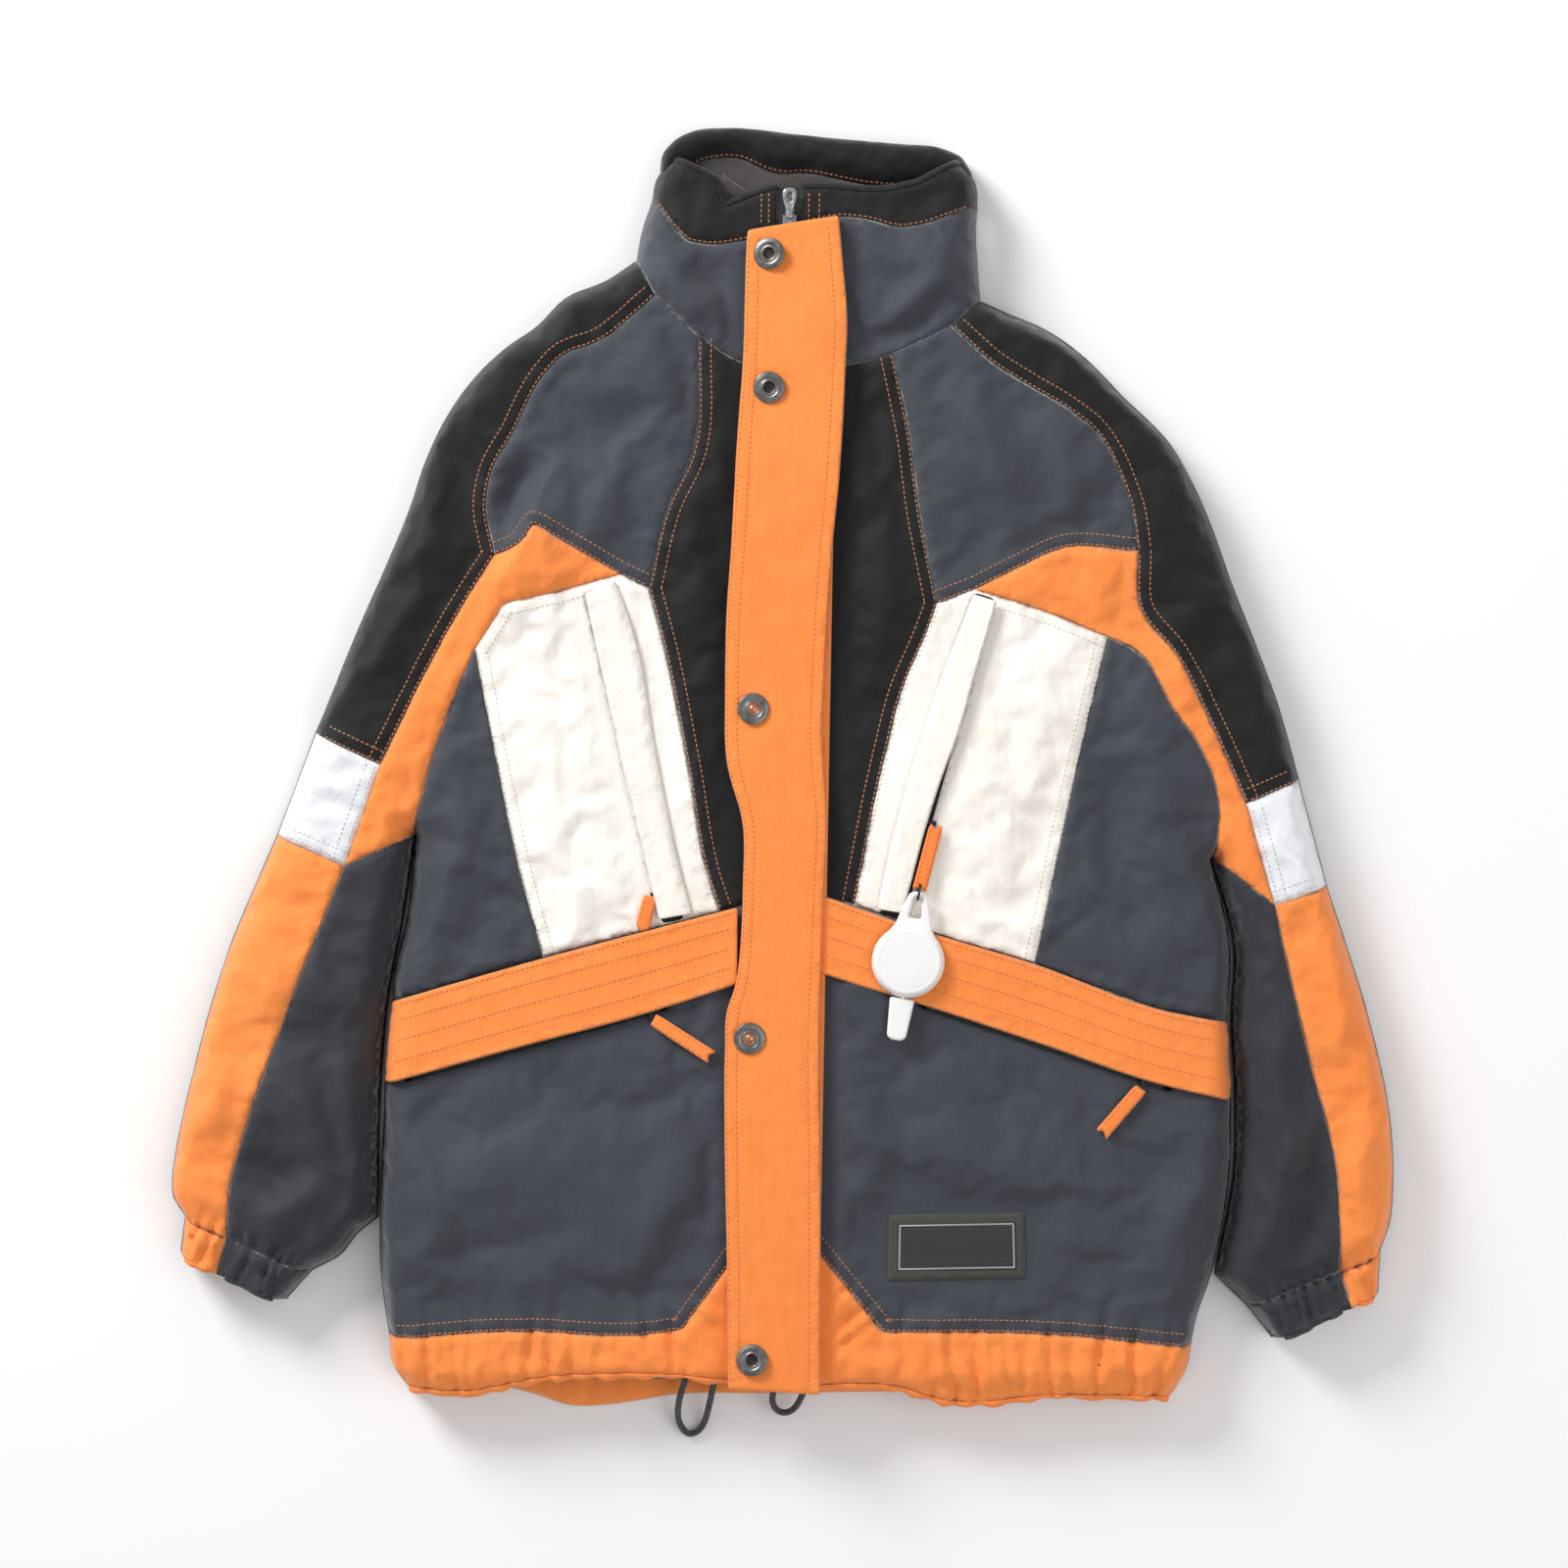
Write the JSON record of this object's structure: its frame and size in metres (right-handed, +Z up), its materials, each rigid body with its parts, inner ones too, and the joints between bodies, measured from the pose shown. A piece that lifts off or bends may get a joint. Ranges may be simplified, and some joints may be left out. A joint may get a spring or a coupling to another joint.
{
  "type": "ski jacket",
  "caption": "Padded hip-length ski jacket, lying flat: stand collar, snap storm flap over a zip, zipped chest and hand pockets, drawcord hem, elastic cuffs, pass reel.",
  "frame": {"origin": "middle of the jacket's outline, on the surface that its back lies on", "axes": "+Z up out of the front, +Y to the collar, +X to the wearer's left"},
  "size_m": [0.832, 0.8934, 0.0552],
  "materials": {
    "orange_cloth": "matte",
    "slate_cloth": "matte",
    "black_cloth": "matte",
    "white_cloth": "matte",
    "reflective": "satin",
    "fleece": "matte",
    "wadding": "matte",
    "lining": "satin",
    "zip_tape": "matte",
    "zip_teeth": "satin",
    "zip_metal": "satin",
    "snap_metal": "satin",
    "white_plastic": "gloss",
    "cord": "matte",
    "badge_cloth": "matte",
    "spool_plastic": "matte"
  },
  "bodies": {
    "torso": {"back_belt_band": "orange_cloth", "back_hem_band": "orange_cloth", "back_lower_panel": "slate_cloth", "back_panel": "slate_cloth", "back_wadding": "wadding", "body_lining": "lining", "centre_front_panels": "black_cloth", "chest_panels": "orange_cloth", "chest_welts": "white_cloth", "collar_band": "black_cloth", "collar_lining": "fleece", "collar_shell": "slate_cloth", "collar_wadding": "wadding", "drawcord_loop_left": "cord", "drawcord_loop_right": "cord", "front_badge": "badge_cloth", "front_belt_bands": "orange_cloth", "front_hem_bands": "orange_cloth", "front_wadding": "wadding", "front_zip_tapes": "zip_tape", "front_zip_teeth": "zip_teeth", "hanger_loop": "black_cloth", "hem_drawcord": "cord", "left_pocket_panel": "white_cloth", "left_shoulder_panel": "black_cloth", "lower_front_panels": "slate_cloth", "pocket_bags": "lining", "pocket_zips": "zip_tape", "right_pocket_panel": "white_cloth", "right_shoulder_panel": "black_cloth", "side_panels": "slate_cloth", "snap_studs": "snap_metal", "storm_flap_root": "orange_cloth", "yokes": "slate_cloth"},
    "storm_flap": {"storm_flap": "orange_cloth", "snap_caps": "snap_metal"},
    "front_slider": {"front_zip_slider": "zip_metal"},
    "front_pull": {"front_zip_pull": "zip_metal"},
    "chest_right_slider": {"chest_right_slider": "zip_metal"},
    "chest_right_pull": {"chest_right_pull": "orange_cloth"},
    "chest_left_slider": {"chest_left_slider": "zip_metal"},
    "chest_left_pull": {"chest_left_pull": "orange_cloth", "reel_ring": "zip_metal"},
    "hand_right_slider": {"hand_right_slider": "zip_metal"},
    "hand_right_pull": {"hand_right_pull": "orange_cloth"},
    "hand_left_slider": {"hand_left_slider": "zip_metal"},
    "hand_left_pull": {"hand_left_pull": "orange_cloth"},
    "reel": {"reel_case": "white_plastic", "reel_spool": "spool_plastic"},
    "reel_strap": {"reel_strap": "white_plastic"},
    "right_sleeve": {"right_reflective_patch": "reflective", "right_sleeve_outer_panel": "orange_cloth", "right_sleeve_under_panel": "slate_cloth", "right_sleeve_wadding": "wadding", "right_cuff": "slate_cloth"},
    "left_sleeve": {"left_reflective_patch": "reflective", "left_sleeve_outer_panel": "orange_cloth", "left_sleeve_under_panel": "slate_cloth", "left_sleeve_wadding": "wadding", "left_cuff": "slate_cloth"}
  },
  "joints": [
    {"name": "storm_flap_hinge", "type": "hinge", "parent": "torso", "child": "storm_flap", "pos_m": [0.032, -0.025, 0.04855], "axis": [0.0202, 0.9998, 0], "range_deg": [0, 135]},
    {"name": "front_zip_slide", "type": "slide", "parent": "torso", "child": "front_slider", "axis": [-0.0127, -0.9999, 0], "range_m": [0, 0.74]},
    {"name": "front_pull_lift", "type": "hinge", "parent": "front_slider", "child": "front_pull", "pos_m": [0.00467, 0.36854, 0.0451], "axis": [1, 0, 0], "range_deg": [0, 85]},
    {"name": "chest_right_zip_slide", "type": "slide", "parent": "torso", "child": "chest_right_slider", "axis": [-0.2293, 0.9734, 0], "range_m": [0, 0.19]},
    {"name": "chest_right_pull_lift", "type": "hinge", "parent": "chest_right_slider", "child": "chest_right_pull", "pos_m": [-0.08876, -0.08568, 0.04515], "axis": [-0.9735, 0.2286, 0], "range_deg": [0, 80]},
    {"name": "chest_left_zip_slide", "type": "slide", "parent": "torso", "child": "chest_left_slider", "axis": [0.2735, 0.9619, 0], "range_m": [-0.012, 0.13]},
    {"name": "chest_left_pull_lift", "type": "hinge", "parent": "chest_left_slider", "child": "chest_left_pull", "pos_m": [0.10344, -0.03792, 0.04515], "axis": [-0.968, 0.2508, 0], "range_deg": [0, 20]},
    {"name": "hand_right_zip_slide", "type": "slide", "parent": "torso", "child": "hand_right_slider", "axis": [-0.9641, -0.2656, 0], "range_m": [0, 0.15]},
    {"name": "hand_right_pull_lift", "type": "hinge", "parent": "hand_right_slider", "child": "hand_right_pull", "pos_m": [-0.08727, -0.16909, 0.04515], "axis": [-0.5411, -0.841, 0], "range_deg": [0, 80]},
    {"name": "hand_left_zip_slide", "type": "slide", "parent": "torso", "child": "hand_left_slider", "axis": [-0.9478, 0.3189, 0], "range_m": [0, 0.14]},
    {"name": "hand_left_pull_lift", "type": "hinge", "parent": "hand_left_slider", "child": "hand_left_pull", "pos_m": [0.24114, -0.21501, 0.04515], "axis": [-0.7625, 0.647, 0], "range_deg": [0, 80]},
    {"name": "reel_swing", "type": "hinge", "parent": "chest_left_pull", "child": "reel", "pos_m": [0.0916, -0.08361, 0.0474], "axis": [-0.9878, 0.156, 0], "range_deg": [0, 60]},
    {"name": "reel_strap_slide", "type": "slide", "parent": "reel", "child": "reel_strap", "axis": [-0.156, -0.9878, 0], "range_m": [0, 0.035], "stiffness_N_per_m": 15},
    {"name": "right_sleeve_swing", "type": "hinge", "parent": "torso", "child": "right_sleeve", "pos_m": [-0.318, 0.024, 0.02], "axis": [0, 0, -1], "range_deg": [0, 12]},
    {"name": "left_sleeve_swing", "type": "hinge", "parent": "torso", "child": "left_sleeve", "pos_m": [0.3515, -0.0076, 0.02], "axis": [0, 0, 1], "range_deg": [0, 12]}
  ]
}
